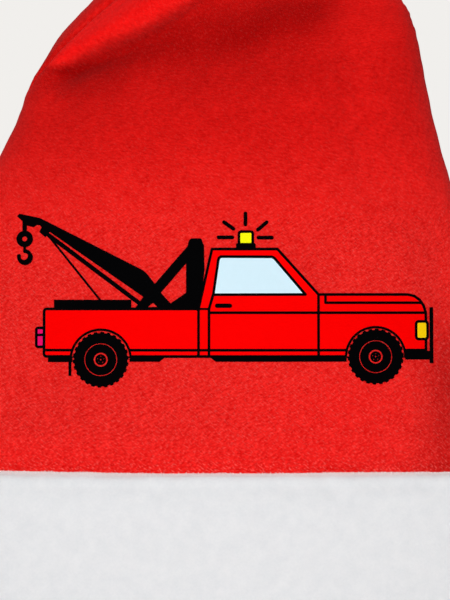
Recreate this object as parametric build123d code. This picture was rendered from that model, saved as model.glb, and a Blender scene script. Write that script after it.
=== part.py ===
from build123d import *
from collections import namedtuple
import math
import os

# A plush party hat for the winter holidays: a cone of two fleece panels whose
# tip folds over and hangs down, a folded plush brim and a pompom.
# All sizes are millimetres. +Z is up and the front faces -Y, so +X is on the
# right seen from the front. The origin is the middle of the head opening, on
# the surface that the hat stands on.

# Cloth of the cone, and its seams down both sides
fleece_thickness = 2.5
seam_allowance = 7.0
seam_ply = 2.4
tip_wall = 3.0

# Brim: one strip folded at the bottom, its outer and inner ply sewn to the cone
brim_height = 80.0
outer_ply = 8.5
inner_ply = 5.5
inner_ply_drop = 4.0
brim_fold_radius = 6.5
brim_top_radius = 5.5

# Room left between the two plies below the hem
pocket_width = 4.0
pocket_floor = 9.0
pocket_gap_to_hem = 6.0

# Hem of the cone, held between the two plies
hem_depth = 13.0
hem_clearance = 0.3

# Seam at the back of the brim, where the two ends of the strip meet
strip_seam_x = -62.0
strip_seam_width = 1.6
strip_seam_depth = 2.2

# Pompom, sewn over the tip
pompom_radius = 31.0
tip_seat_depth = 9.0
tip_clearance = 0.3
pompom_dimple_depth = 3.5
pompom_dimple_radius = 15.0

# Head opening at the brim seam, an oval of four tangent arcs. Every level of
# the cone has the same kind of oval, its end arcs this share of its half depth.
opening_half_width = 134.0
opening_half_depth = 56.0
end_roundness = 0.55

# Cone, level by level towards the tip. x and z place the middle of the level,
# lean is its tilt towards +X in degrees, and the half sizes are those of its
# outer surface. The first two only lead the surface in and are trimmed away at
# the brim seam. At 249 the cloth creases where the top folds over.
Level = namedtuple("Level", "x z lean half_width half_depth")
cone_levels = [
    Level(-1.2, 0.0, 0.0, 162.0, 65.4),
    Level(-0.6, 40.0, 0.0, 148.0, 60.7),
    Level(0.0, brim_height, 0.0, opening_half_width, opening_half_depth),
    Level(0.6, 120.0, 0.0, 120.8, 51.3),
    Level(1.5, 160.0, 0.0, 107.4, 46.4),
    Level(2.8, 195.0, 0.0, 95.4, 41.6),
    Level(5.2, 225.0, -2.0, 84.4, 36.4),
    Level(7.8, 249.0, -4.0, 76.4, 28.5),
    Level(18.5, 268.0, 5.5, 63.8, 32.5),
    Level(29.0, 282.0, 17.0, 51.3, 32.5),
    Level(43.0, 293.5, 32.0, 39.5, 29.0),
    Level(61.5, 301.0, 54.0, 28.5, 24.5),
    Level(84.0, 302.5, 83.0, 22.3, 20.0),
    Level(107.0, 291.5, 116.0, 17.0, 15.5),
    Level(123.0, 271.0, 145.0, 13.5, 12.2),
    Level(131.0, 247.5, 162.0, 10.5, 9.2),
    Level(135.0, 225.5, 169.0, 8.5, 7.3),
]
tip = cone_levels[-1]

# The four arcs of an oval: the two at the ends are turned about points at
# +-end_centre on X, the two along the sides about points at -+side_centre on Y,
# and turn is half the angle of a side arc.
Arcs = namedtuple("Arcs", "end_radius end_centre side_radius side_centre turn")


def arcs_of(half_width, half_depth):
    end_radius = end_roundness * half_depth
    end_centre = half_width - end_radius
    rise = half_depth - end_radius
    side_radius = (end_centre**2 + half_depth**2 - end_radius**2) / (2 * rise)
    side_centre = side_radius - half_depth
    turn = math.atan2(end_centre, side_centre)
    return Arcs(end_radius, end_centre, side_radius, side_centre, turn)


def oval(half_width, half_depth, grow=0.0):
    """A face of four tangent arcs, grown or shrunk about the same four centres."""
    arcs = arcs_of(half_width, half_depth)
    radius = arcs.side_radius + grow
    x = radius * math.sin(arcs.turn)
    y = radius * math.cos(arcs.turn) - arcs.side_centre
    far_x, far_y = half_width + grow, half_depth + grow
    right_end = ThreePointArc((x, -y), (far_x, 0), (x, y))
    back = ThreePointArc((x, y), (0, far_y), (-x, y))
    left_end = ThreePointArc((-x, y), (-far_x, 0), (-x, -y))
    front = ThreePointArc((-x, -y), (0, -far_y), (x, -y))
    return make_face([right_end, back, left_end, front])


def plane_of(level):
    """The plane of a level: X across it, towards the droop, and Z along the cone."""
    lean = math.radians(level.lean)
    along = (math.sin(lean), 0, math.cos(lean))
    across = (math.cos(lean), 0, -math.sin(lean))
    return Plane(origin=(level.x, 0, level.z), x_dir=across, z_dir=along)


def above_brim_seam(solid):
    reach = 1000.0
    return solid & Pos(0, 0, brim_height + reach / 2) * Box(reach, reach, reach)


def cone(grow=0.0):
    """Everything inside the cone's surface above the brim seam."""
    sections = [plane_of(v) * oval(v.half_width, v.half_depth, grow) for v in cone_levels]
    return above_brim_seam(loft(sections))


def hem(grow=0.0):
    """The same below the seam, where the cloth hangs straight into the brim."""
    face = oval(opening_half_width, opening_half_depth, grow)
    return Pos(0, 0, brim_height - hem_depth) * extrude(face, hem_depth)


def between_allowances():
    """The room that the seam allowances down both sides leave between them."""
    thickness = 2 * (seam_ply + 0.4)
    sections = []
    for level in cone_levels:
        allowance = min(seam_allowance, 0.35 * level.half_width)
        width = 2 * (level.half_width - fleece_thickness - allowance)
        sections.append(plane_of(level) * Rectangle(width, thickness))
    return above_brim_seam(loft(sections))


def front_panel():
    """The front half of the cone's cloth, its edges turned in along both side seams."""
    reach = 1000.0
    front_half = Pos(0, -reach / 2, 0) * Box(reach, reach, reach)
    past_seam_ply = Pos(0, -seam_ply, 0) * front_half
    closed_tip = extrude(plane_of(tip) * Rectangle(40, 40), -tip_wall)
    cloth_and_inside = (hem() + cone()) & front_half
    hollow = (cone(-fleece_thickness) & past_seam_ply) + between_allowances()
    return cloth_and_inside - hem(-fleece_thickness) - (hollow - closed_tip)


def brim_profile():
    """The folded strip's section: X is out from the cone's surface, Y is up."""
    outside = outer_ply
    inside = -fleece_thickness - inner_ply
    between = -fleece_thickness / 2
    inner_top = brim_height - inner_ply_drop
    outline = Polyline(
        (inside, 0),
        (outside, 0),
        (outside, brim_height),
        (between, brim_height),
        (between, inner_top),
        (inside, inner_top),
        close=True,
    )
    strip = make_face(outline)
    strip = fillet(strip.vertices().group_by(Axis.Y)[0], brim_fold_radius)
    top_edge = strip.vertices().group_by(Axis.Y)[-1].sort_by(Axis.X)[-1]
    strip = fillet(top_edge, brim_top_radius)
    slot_depth = hem_depth + hem_clearance
    slot = Rectangle(fleece_thickness + 2 * hem_clearance, slot_depth)
    pocket_top = brim_height - slot_depth - pocket_gap_to_hem
    pocket_height = pocket_top - pocket_floor
    pocket = Rectangle(pocket_width, pocket_height)
    strip -= Pos(between, brim_height - slot_depth / 2) * slot
    return strip - Pos(between, pocket_floor + pocket_height / 2) * pocket


def brim():
    """The strip's section turned about the four centres of the opening's oval."""
    arcs = arcs_of(opening_half_width, opening_half_depth)
    side_span = 2 * math.degrees(arcs.turn)
    end_span = 180 - side_span
    # Columns: centre x, centre y, radius, where the arc's middle points, its span
    stretches = [
        (0, arcs.side_centre, arcs.side_radius, -90, side_span),
        (0, -arcs.side_centre, arcs.side_radius, 90, side_span),
        (arcs.end_centre, 0, arcs.end_radius, 0, end_span),
        (-arcs.end_centre, 0, arcs.end_radius, 180, end_span),
    ]
    profile = brim_profile()
    ring = Part()
    for x, y, radius, middle, span in stretches:
        start = Plane.XZ * Pos(radius, 0) * profile
        stretch = revolve(start, Axis.Z, span)
        ring += Pos(x, y, 0) * Rot(0, 0, middle - span / 2) * stretch
    return ring - strip_seam(arcs)


def strip_seam(arcs):
    """A shallow groove up the back of the brim, square to its surface."""
    turn = math.degrees(math.asin(strip_seam_x / arcs.side_radius))
    surface = arcs.side_radius + outer_ply
    groove = Box(strip_seam_width, 2 * strip_seam_depth, 3 * brim_height)
    return Pos(0, -arcs.side_centre, 0) * Rot(0, 0, -turn) * Pos(0, surface, 0) * groove


def pompom():
    """A ball drawn in where it is gathered onto the tip, with a pocket for the tip."""
    ball = Sphere(pompom_radius)
    dimple = Pos(0, 0, pompom_radius) * Cone(
        0, pompom_dimple_radius, 2 * pompom_dimple_depth
    )
    ball -= dimple
    ball = fillet(ball.edges().sort_by(Axis.Z)[-1], 3.0)
    hang = Rot(0, 180 + tip.lean, 0)
    seat = plane_of(tip).offset(pompom_radius - tip_seat_depth)
    ball = Pos(*seat.origin) * hang * ball
    floor_of_pocket = extrude(
        plane_of(tip) * oval(tip.half_width, tip.half_depth, tip_clearance), tip_clearance
    )
    return ball - cone(tip_clearance) - floor_of_pocket


def main():
    os.makedirs("parts", exist_ok=True)
    front = front_panel()
    nodes = {
        "crown_front_panel": front,
        "crown_back_panel": mirror(front, Plane.XZ),
        "brim": brim(),
        "pompom": pompom(),
    }
    for name, shape in nodes.items():
        export_step(shape, f"parts/{name}.step")


main()
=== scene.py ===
"""Looks of a plush Santa-style hat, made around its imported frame.

A cone of two fleece panels, sewn down both sides, stands in a padded plush brim
and folds over to the right at its top, where a pompom hangs. The front panel
carries a printed pictogram. Shapes are worked out in millimetres, like the part
they stand for, and become metres when their mesh is made. +Z is up and the front
faces -Y.
"""

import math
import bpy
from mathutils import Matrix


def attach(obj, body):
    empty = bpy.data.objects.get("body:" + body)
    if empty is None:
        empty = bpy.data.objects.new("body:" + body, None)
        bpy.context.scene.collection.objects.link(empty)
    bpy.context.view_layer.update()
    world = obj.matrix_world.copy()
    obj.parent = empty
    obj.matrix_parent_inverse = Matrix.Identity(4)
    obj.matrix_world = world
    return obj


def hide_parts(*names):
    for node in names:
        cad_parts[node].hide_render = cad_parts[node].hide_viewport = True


bl_info = {
    "name": "Plush Santa Hat",
    "version": (1, 0, 0),
    "blender": (4, 5, 0),
    "location": "View3D > Sidebar > Hat",
    "description": "Fleece cone, padded plush brim, pompom and print of a plush hat",
    "category": "Add Mesh",
}

from functools import partial

import bmesh
import bpy
import numpy as np
from bpy.props import FloatProperty, FloatVectorProperty, PointerProperty
from mathutils import Vector
from mathutils.bvhtree import BVHTree
from mathutils.geometry import delaunay_2d_cdt

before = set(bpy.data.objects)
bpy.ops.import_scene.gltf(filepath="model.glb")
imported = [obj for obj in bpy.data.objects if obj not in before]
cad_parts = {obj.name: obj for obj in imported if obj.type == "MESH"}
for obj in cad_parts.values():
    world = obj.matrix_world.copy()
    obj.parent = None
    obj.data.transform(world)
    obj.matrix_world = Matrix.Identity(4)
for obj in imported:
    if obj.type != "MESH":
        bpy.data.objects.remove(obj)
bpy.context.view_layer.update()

MM = 0.001
BODY = "root"

# Cone, level by level from the hem to the tip, in mm as in the CAD: x and z of the
# middle, tilt towards +X in degrees, half width and half depth of the outer face.
CROWN_LEVELS = (
    (0.0, 68.0, 0.0, 134.0, 56.0),
    (0.0, 80.0, 0.0, 134.0, 56.0),
    (0.6, 120.0, 0.0, 120.8, 51.3),
    (1.5, 160.0, 0.0, 107.4, 46.4),
    (2.8, 195.0, 0.0, 95.4, 41.6),
    (5.2, 225.0, -2.0, 84.4, 36.4),
    (7.3, 249.0, -4.0, 77.3, 30.5),
    (18.5, 268.0, 5.5, 63.8, 33.0),
    (29.6, 282.0, 17.0, 53.0, 32.5),
    (43.0, 293.5, 32.0, 39.5, 29.0),
    (61.5, 301.0, 54.0, 28.5, 24.5),
    (84.0, 302.5, 83.0, 22.3, 20.0),
    (107.0, 291.5, 116.0, 17.0, 15.5),
    (123.0, 271.0, 145.0, 13.5, 12.2),
    (131.0, 247.5, 162.0, 10.5, 9.2),
    (135.0, 225.5, 169.0, 8.5, 7.3),
)
OPENING = CROWN_LEVELS[1][3:]  # half width and half depth of the oval at the brim
END_ROUNDNESS = 0.55  # an oval's end arcs, as a share of its half depth
ROWS, COLUMNS = 196, 150  # points up a panel, and across its flat cloth
BRIM_TOP = 80.0
BRIM_SEAM_X = -62.0  # where the brim strip's two ends meet at the back


# Small tools


def linear(hexes):
    """An sRGB hex colour as linear RGB."""
    parts = [int(hexes[i : i + 2], 16) / 255 for i in (1, 3, 5)]
    return tuple(v / 12.92 if v <= 0.04045 else ((v + 0.055) / 1.055) ** 2.4 for v in parts)


def dimmed(colour, share):
    return tuple(min(1.0, share * v) for v in colour)


def ease(value, start, end):
    """0 before start, 1 after end, and smooth between them."""
    t = np.clip((value - start) / (end - start), 0, 1)
    return t * t * (3 - 2 * t)


def hump(value, middle, reach):
    return np.exp(-(((value - middle) / reach) ** 2))


def smooth_curve(knots, values, at):
    """A natural cubic spline through one row of values a knot, read at the places."""
    knots, values, at = (np.asarray(v, float) for v in (knots, values, at))
    step = np.diff(knots)
    slope = np.diff(values, axis=0) / step[:, None]
    count = len(knots)
    matrix = np.eye(count)
    right = np.zeros_like(values)
    for i in range(1, count - 1):
        matrix[i, i - 1 : i + 2] = step[i - 1], 2 * (step[i - 1] + step[i]), step[i]
        right[i] = 6 * (slope[i] - slope[i - 1])
    bend = np.linalg.solve(matrix, right)
    i = np.clip(np.searchsorted(knots, at) - 1, 0, count - 2)
    width = step[i][..., None]
    before = (knots[i + 1] - at)[..., None] / width
    after = 1 - before
    curve = (before**3 - before) * bend[i] + (after**3 - after) * bend[i + 1]
    return before * values[i] + after * values[i + 1] + curve * width**2 / 6


def soft_noise(points, size, seed):
    """Smooth noise from -1 to 1, in lumps of about size."""
    cell = points / size
    low = np.floor(cell).astype(np.int64)
    part = cell - low
    part = part * part * (3 - 2 * part)
    total = np.zeros(points.shape[:-1])
    for corner in np.ndindex(2, 2, 2):
        weight = np.prod(np.where(corner, part, 1 - part), axis=-1)
        # Each corner of a cell has its own number, mixed from its place and the seed.
        key = (low + corner) @ np.array((73856093, 19349663, 83492791)) + seed * 7919
        key = (key ^ (key >> 13)) * 1274126177
        total += weight * ((key ^ (key >> 16)) & 0xFFFF) / 0x7FFF
    return total - 1


def unit(vectors):
    size = np.linalg.norm(vectors, axis=-1, keepdims=True)
    return vectors / np.maximum(size, 1e-9)


def grid_faces(rows, columns, closed=False, first=0):
    """The quads of a grid of points, its last column joined to its first if closed."""
    row, column = np.meshgrid(
        np.arange(rows - 1), np.arange(columns - (not closed)), indexing="ij"
    )
    beside = (column + 1) % columns
    corners = (
        row * columns + column,
        row * columns + beside,
        (row + 1) * columns + beside,
        (row + 1) * columns + column,
    )
    return first + np.stack(corners, axis=-1).reshape(-1, 4)


def shell_of(outer, inner):
    """Points and faces of the closed wall between two grids of the same size."""
    rows, columns = outer.shape[:2]
    points = np.concatenate((outer.reshape(-1, 3), inner.reshape(-1, 3)))
    far = rows * columns
    faces = [grid_faces(rows, columns), grid_faces(rows, columns, first=far)[:, ::-1]]
    index = np.arange(far).reshape(rows, columns)
    for edge in (index[0, ::-1], index[:, 0], index[-1], index[::-1, -1]):
        a, b = edge[:-1], edge[1:]
        faces.append(np.stack((a, b, b + far, a + far), axis=-1))
    return points, np.concatenate(faces)


def new_object(name, data):
    thing = bpy.data.objects.new(name, data)
    bpy.context.scene.collection.objects.link(thing)
    return thing


def new_piece(name, points, faces, materials):
    """A smooth object at the origin from points in millimetres, riding on the body."""
    mesh = bpy.data.meshes.new(name)
    mesh.from_pydata((np.asarray(points) * MM).tolist(), [], [list(f) for f in faces])
    mesh.shade_smooth()
    for material in materials:
        mesh.materials.append(material)
    mesh.update()
    piece = new_object(name, mesh)
    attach(piece, BODY)
    return piece


def add_cloth_map(piece, places):
    """A UV map in metres of cloth, from each point's place on the flat piece."""
    mesh = piece.data
    corner = np.empty(len(mesh.loops), dtype=np.int32)
    mesh.loops.foreach_get("vertex_index", corner)
    layer = mesh.uv_layers.new(name="cloth")
    layer.uv.foreach_set("vector", (places[corner] * MM).astype(np.float32).ravel())


def add_attribute(piece, name, values):
    layer = piece.data.attributes.new(name, "FLOAT", "POINT")
    layer.data.foreach_set("value", values.astype(np.float32))


def points_of(mesh):
    points = np.empty(3 * len(mesh.vertices))
    mesh.vertices.foreach_get("co", points)
    return points.reshape(-1, 3) / MM


def apply_modifiers(piece):
    """Leaves the evaluated shape as the piece's plain mesh."""
    evaluated = piece.evaluated_get(bpy.context.evaluated_depsgraph_get())
    mesh = bpy.data.meshes.new_from_object(evaluated)
    piece.modifiers.clear()
    old, piece.data = piece.data, mesh
    mesh.name = piece.name
    bpy.data.meshes.remove(old)


def finish_mesh(piece, sharp=()):
    """Makes a closed piece's faces point outwards, keeps the edges between the given
    pairs of points sharp, and makes points within 0.004 mm of each other one."""
    tidy = bmesh.new()
    tidy.from_mesh(piece.data)
    bmesh.ops.recalc_face_normals(tidy, faces=tidy.faces)
    tidy.verts.ensure_lookup_table()
    for a, b in sharp:
        tidy.edges.get((tidy.verts[a], tidy.verts[b])).smooth = False
    bmesh.ops.remove_doubles(tidy, verts=tidy.verts, dist=0.004 * MM)
    tidy.to_mesh(piece.data)
    tidy.free()


# Node helper


def add(tree, kind, inputs=None, **settings):
    """Adds a node with its settings. An input, by the name or number of its socket, is
    a value, a socket to link, or a node whose first output in use is linked."""
    node = tree.nodes.new(kind)
    for name, value in settings.items():
        setattr(node, name, value)
    for name, value in (inputs or {}).items():
        if isinstance(name, str):
            socket = next(s for s in node.inputs if s.enabled and s.name == name)
        else:
            socket = node.inputs[name]
        if isinstance(value, bpy.types.Node):
            value = next(s for s in value.outputs if s.enabled)
        if isinstance(value, bpy.types.NodeSocket):
            tree.links.new(value, socket)
        elif socket.type == "RGBA" and len(value) == 3:
            socket.default_value = (*value, 1.0)
        else:
            socket.default_value = value
    return node


# Materials


def new_material(name):
    """A material without nodes, and the function that adds nodes to it."""
    material = bpy.data.materials.new(name)
    material.use_nodes = True
    material.node_tree.nodes.clear()
    return material, partial(add, material.node_tree)


def finish_cloth(node, height, strength, depth, look):
    """Ends a cloth's nodes: its surface, with bump from the height of its nap."""
    bump = node("ShaderNodeBump", {"Strength": strength, "Distance": depth, "Height": height})
    shader = node("ShaderNodeBsdfPrincipled", {**look, "Normal": bump})
    node("ShaderNodeOutputMaterial", {"Surface": shader})


def fleece_material(colours):
    """Brushed polyester fleece, dyed red: short fibres felted into small flecks."""
    material, node = new_material("brushed_polyester_fleece_red")
    cloth = node("ShaderNodeUVMap", uv_map="cloth")
    # The first attribute below is the fuzz of the nap with painted sheen in it, and the second is
    # painted shade where it is above 0 and painted highlight where it is below.
    fuzz_and_sheen = node("ShaderNodeAttribute", attribute_name="nap_fuzz").outputs["Fac"]
    shade_and_highlight = node("ShaderNodeAttribute", attribute_name="nap_lie").outputs["Fac"]
    # Fleece pills into tufts under 1 mm across, in clumps of up to 5 mm. The nap is
    # brushed, so its flecks are drawn out along it: they rise to the right low down,
    # where the cloth is fuzzy, and fall a little to the right near the top. Hands have
    # brushed it up or down over a few centimetres. Single fibres stand out of it, drawn
    # half a millimetre thick to show. For each layer: turn in degrees, how far it is
    # drawn out, size in metres, detail, and half the range of noise that it spreads.
    layers = {
        "rising": (-26, 2.0, 0.0009, 2.0, 0.22),
        "falling": (12, 2.4, 0.0009, 2.0, 0.28),
        "clump": (0, 1.0, 0.005, 3.0, 0.2),
        "brushed": (0, 1.0, 0.024, 1.0, 0.25),
        "fibre": (38, 3.0, 0.00055, 1.0, 0.3),
    }
    nap = {}
    for name, (turn, stretch, size, detail, half) in layers.items():
        turned = node(
            "ShaderNodeMapping",
            {"Vector": cloth, "Rotation": (0, 0, math.radians(turn))},
        )
        drawn = node("ShaderNodeMapping", {"Vector": turned, "Scale": (1 / stretch, 1, 1)})
        noise = node(
            "ShaderNodeTexNoise",
            {"Vector": drawn, "Scale": 1 / size, "Detail": detail, "Roughness": 0.55},
        )
        spread = {"Value": noise, "From Min": 0.5 - half, "From Max": 0.5 + half}
        nap[name] = node("ShaderNodeMapRange", spread)
    low_down = node("ShaderNodeMapRange", {"Value": fuzz_and_sheen, "From Min": 0.45, "From Max": 0.75})
    fleck = node("ShaderNodeMix", {"Factor": low_down, "A": nap["falling"], "B": nap["rising"]})
    height = node("ShaderNodeMath", {0: nap["clump"], 1: 0.38, 2: fleck}, operation="MULTIPLY_ADD")
    tone = node("ShaderNodeMapRange", {"Value": height, "From Min": 0.14, "From Max": 1.24})
    # Painted shade, with random brushing added to it, where the second attribute is above 0, and
    # painted highlight where it is below.
    brushing_and_painted_shade = node(
        "ShaderNodeMath",
        {0: nap["brushed"], 1: 0.12, 2: shade_and_highlight},
        operation="MULTIPLY_ADD",
        use_clamp=True,
    )
    up = node("ShaderNodeMath", {0: shade_and_highlight, 1: -1.0}, operation="MULTIPLY", use_clamp=True)
    fibre = node(
        "ShaderNodeMapRange",
        {"Value": nap["fibre"], "From Min": 0.55, "From Max": 0.95, "To Max": 0.28},
    )
    stray = node("ShaderNodeMath", {0: fibre, 1: fuzz_and_sheen}, operation="MULTIPLY")
    # Painted shade: deep is a darker red for the folds, the upper cone and the right side, where
    # less light falls, and painted highlight: a brighter red for the roll, where the light falls
    # fullest.
    deep, painted_highlight_red = colours.deep, colours.painted_highlight_red
    # The tips turn paler and pinker with the fuzz: painted sheen.
    tips = node(
        "ShaderNodeMix",
        {"Factor": fuzz_and_sheen, "A": colours.light, "B": colours.fuzzy},
        data_type="RGBA",
    )
    flecked, painted_shade_fleece, painted_highlight_fleece = (
        node("ShaderNodeMix", {"Factor": tone, "A": roots, "B": ends}, data_type="RGBA")
        for roots, ends in (
            (colours.shade, tips),
            (dimmed(deep, 0.84), dimmed(deep, 1.16)),
            (dimmed(painted_highlight_red, 0.84), painted_highlight_red),
        )
    )
    colour = flecked
    for amount, over in ((brushing_and_painted_shade, painted_shade_fleece), (up, painted_highlight_fleece), (stray, colours.fibre)):
        mix = {"Factor": amount, "A": colour, "B": over}
        colour = node("ShaderNodeMix", mix, data_type="RGBA")
    look = {
        "Base Color": colour,
        "Roughness": 0.95,
        "Specular IOR Level": 0.04,
        "Sheen Weight": 0.03,
        "Sheen Roughness": 0.6,
        "Sheen Tint": (1.0, 0.8, 0.78),
    }
    finish_cloth(node, height, strength=0.4, depth=0.0004, look=look)
    return material


def plush_material(name, colours, size):
    """Short-pile polyester plush, undyed white: fibres clump into soft mottles."""
    material, node = new_material(name)
    where = node("ShaderNodeTexCoord").outputs["Object"]
    mottle, fibre = (
        node(
            "ShaderNodeTexNoise",
            {"Vector": where, "Scale": 1 / lump, "Detail": detail, "Roughness": 0.55},
        )
        for lump, detail in ((size, 2.0), (size * 0.2, 1.0))
    )
    height = node("ShaderNodeMath", {0: fibre, 1: 0.6, 2: mottle}, operation="MULTIPLY_ADD")
    tone = node("ShaderNodeMapRange", {"Value": height, "From Min": 0.5, "From Max": 1.1})
    colour = node(
        "ShaderNodeMix",
        {"Factor": tone, "A": colours.shade, "B": colours.light},
        data_type="RGBA",
    )
    # A painted highlight lifts the brim's rounded top edge to near white against the shade that
    # falls there, and a painted reflection tints it pink right at the seam, where light comes off
    # the red cloth.
    for attribute, over in (("fringe", "#FDFDFD"), ("thin_pile", "#FFBCBC")):
        amount = node("ShaderNodeAttribute", attribute_name=attribute).outputs["Fac"]
        mix = {"Factor": amount, "A": colour, "B": linear(over)}
        colour = node("ShaderNodeMix", mix, data_type="RGBA")
    look = {
        "Base Color": colour,
        "Roughness": 0.95,
        "Specular IOR Level": 0.15,
        "Sheen Weight": 0.5,
        "Sheen Roughness": 0.6,
    }
    finish_cloth(node, height, strength=0.1, depth=0.0005, look=look)
    return material


def film_material(name, colour):
    """Heat-transfer film on fleece: matt and even, with the nap showing through."""
    material, node = new_material(name)
    where = node("ShaderNodeTexCoord").outputs["Object"]
    nap = node(
        "ShaderNodeTexNoise",
        {"Vector": where, "Scale": 1 / 0.0018, "Detail": 2.0, "Roughness": 0.55},
    )
    shaded = node(
        "ShaderNodeMix",
        {"Factor": nap, "A": dimmed(colour, 0.97), "B": colour},
        data_type="RGBA",
    )
    look = {"Base Color": shaded, "Roughness": 0.85, "Specular IOR Level": 0.02}
    finish_cloth(node, nap, strength=0.1, depth=0.0002, look=look)
    return material


# Settings


def length(name, description, default):
    """A size that a user may change, in metres."""
    return FloatProperty(
        name=name, description=description, default=default, min=0.0, unit="LENGTH", precision=4
    )


def colour(name, description, hexes):
    return FloatVectorProperty(
        name=name,
        description=description,
        default=linear(hexes),
        subtype="COLOR",
        min=0.0,
        max=1.0,
    )


class HatStageSettings(bpy.types.PropertyGroup):
    distance: length("Camera Distance", "Camera to the cone's front", 3.2)
    width: length("View Width", "Width of the view at the cone's front", 0.18)
    floor: colour("Floor", "Colour of the floor", "#EFEDEA")


class HatCrownSettings(bpy.types.PropertyGroup):
    thickness: length("Fleece Thickness", "Thickness of the cone's cloth", 0.0025)
    allowance: length("Seam Allowance", "Cloth turned in along a side seam", 0.007)
    turn: length("Seam Turn", "Radius at which the cloth turns into a seam", 0.003)
    crease: length("Crease Depth", "Depth of the crease where the top folds", 0.006)
    bulge: length("Bulge Height", "Height of the roll above the crease", 0.0055)
    waves: length("Wave Height", "Height of the soft waves in the cloth", 0.0016)
    nap: length("Nap Height", "Height of the lumps of the nap", 0.00022)
    light: colour("Fleece, Tips", "Lightest fibre of the fleece", "#FF1713")
    # Fluffed tips are paler and pinker than the rest: painted sheen.
    fuzzy: colour("Fleece, Fluffed Tips", "Lightest fibre where it is fluffed up", "#FF2E29")
    shade: colour("Fleece, Roots", "Darker fibre of the fleece", "#D40705")
    # The next two are painted shade and painted highlight in the fleece's colour.
    deep: colour("Fleece, Brushed Down", "Fleece where the nap lies flat", "#960000")
    painted_highlight_red: colour("Fleece, Brushed Up", "Fleece where the nap stands up", "#FF0C0C")
    fibre: colour("Fleece, Stray Fibre", "Single fibres out of the nap", "#FF7870")


class HatBrimSettings(bpy.types.PropertyGroup):
    ply: length("Outer Ply", "How far the outer ply stands off the cone", 0.0085)
    padding: length("Padding", "Most that the plies puff out", 0.0035)
    lumps: length("Lump Height", "Height of the clumps of the pile", 0.00014)
    pile: length("Pile Length", "Length of the fibres that stand up", 0.0004)
    light: colour("Plush, Tips", "Lightest fibre of the plush", "#EDEEF0")
    shade: colour("Plush, Roots", "Darker fibre of the plush", "#E5E7EA")


class HatPompomSettings(bpy.types.PropertyGroup):
    radius: length("Radius", "Radius of the whole pompom", 0.031)
    pile: length("Pile Length", "Length of the tufts", 0.0055)
    tuft: length("Tuft Thickness", "Thickness of a tuft at its root", 0.0011)
    spacing: length("Tuft Spacing", "Least distance between two tufts", 0.0011)
    light: colour("Yarn, Tips", "Lightest fibre of the yarn", "#FAFAFA")
    shade: colour("Yarn, Roots", "Darker fibre of the yarn", "#EDEEF0")


class HatPrintSettings(bpy.types.PropertyGroup):
    film: length("Film Thickness", "How far the print stands off the nap", 0.0003)
    line: length("Line Width", "Width of the drawing's lines", 0.00112)
    black: colour("Black", "Outlines, tyres and boom", "#020203")
    red: colour("Red", "Body of the truck", "#FF0000")
    sky: colour("Pale Blue", "Window", "#D8F3FF")
    yellow: colour("Yellow", "Beacon", "#FBFC0E")
    amber: colour("Amber", "Headlamp", "#FFD30A")
    magenta: colour("Magenta", "Tail lamp", "#EA106A")


# The crown


def oval_arcs(half_width, half_depth):
    """End radius, end centre, side radius, side centre and turn of an oval."""
    end = END_ROUNDNESS * half_depth
    end_centre = half_width - end
    side = (end_centre**2 + half_depth**2 - end**2) / (2 * (half_depth - end))
    side_centre = side - half_depth
    return end, end_centre, side, side_centre, np.arctan2(end_centre, side_centre)


def quarter_girth(half_width, half_depth):
    end, _, side, _, turn = oval_arcs(half_width, half_depth)
    return side * turn + end * (np.pi / 2 - turn)


def oval_place(half_width, half_depth, along):
    """Point and outward direction on an oval, along it from the middle of its front."""
    end, end_centre, side, side_centre, turn = oval_arcs(half_width, half_depth)
    quarter = side * turn + end * (np.pi / 2 - turn)
    along = (along + 2 * quarter) % (4 * quarter) - 2 * quarter
    reach = np.abs(along)
    behind = reach > quarter
    reach = np.where(behind, 2 * quarter - reach, reach)
    on_side = reach < side * turn
    angle = np.where(on_side, reach / side, turn + (reach - side * turn) / end)
    radius = np.where(on_side, side, end)
    x = np.where(on_side, 0, end_centre) + radius * np.sin(angle)
    y = np.where(on_side, side_centre, 0) - radius * np.cos(angle)
    right = np.sign(along) + (along == 0)
    front = np.where(behind, -1, 1)
    return x * right, y * front, np.sin(angle) * right, -np.cos(angle) * front


STEPS = [math.dist(a[:2], b[:2]) for a, b in zip(CROWN_LEVELS, CROWN_LEVELS[1:])]
KNOTS = np.concatenate(([0.0], np.cumsum(STEPS)))  # how far up the cone each level is


def crown_sections(up):
    """Middle, tilt in radians and half sizes of the cone's sections, as columns."""
    x, z, lean, half_width, half_depth = smooth_curve(KNOTS, CROWN_LEVELS, up).T[..., None]
    # The tip is gathered shut over its last 2 mm.
    shut = 1 - 0.75 * np.clip((up[:, None] - KNOTS[-1] + 2.0) / 2.0, 0, 1) ** 3
    return x, z, np.radians(lean), half_width * shut, half_depth * shut


def crown_place(up, share):
    """Points of the cone's surface: up it, and round it as a share of a quarter."""
    x, z, lean, half_width, half_depth = crown_sections(up)
    along = share * quarter_girth(half_width, half_depth)
    across, y, _, _ = oval_place(half_width, half_depth, along)
    return np.stack((x + across * np.cos(lean), y, z - across * np.sin(lean)), axis=-1)


def crown_outwards(up, share):
    small, width = 0.4, 0.002
    round_it = crown_place(up, share + width) - crown_place(up, share - width)
    up_it = crown_place(up + small, share) - crown_place(up - small, share)
    return unit(np.cross(round_it, up_it))


def off_line(x, z, line):
    """Distance from a bent line in x and z, positive on its left going along it."""
    line = np.array(line, float)
    nearest = np.full(np.shape(x), 1e6)
    for a, b in zip(line[:-1], line[1:]):
        step = np.linalg.norm(b - a)
        way = (b - a) / step
        from_a = x - a[0], z - a[1]
        along = np.clip(from_a[0] * way[0] + from_a[1] * way[1], 0, step)
        away = np.hypot(from_a[0] - along * way[0], from_a[1] - along * way[1])
        left = way[0] * from_a[1] - way[1] * from_a[0]
        nearest = np.where(away < np.abs(nearest), np.where(left < 0, -away, away), nearest)
    return nearest


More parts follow.
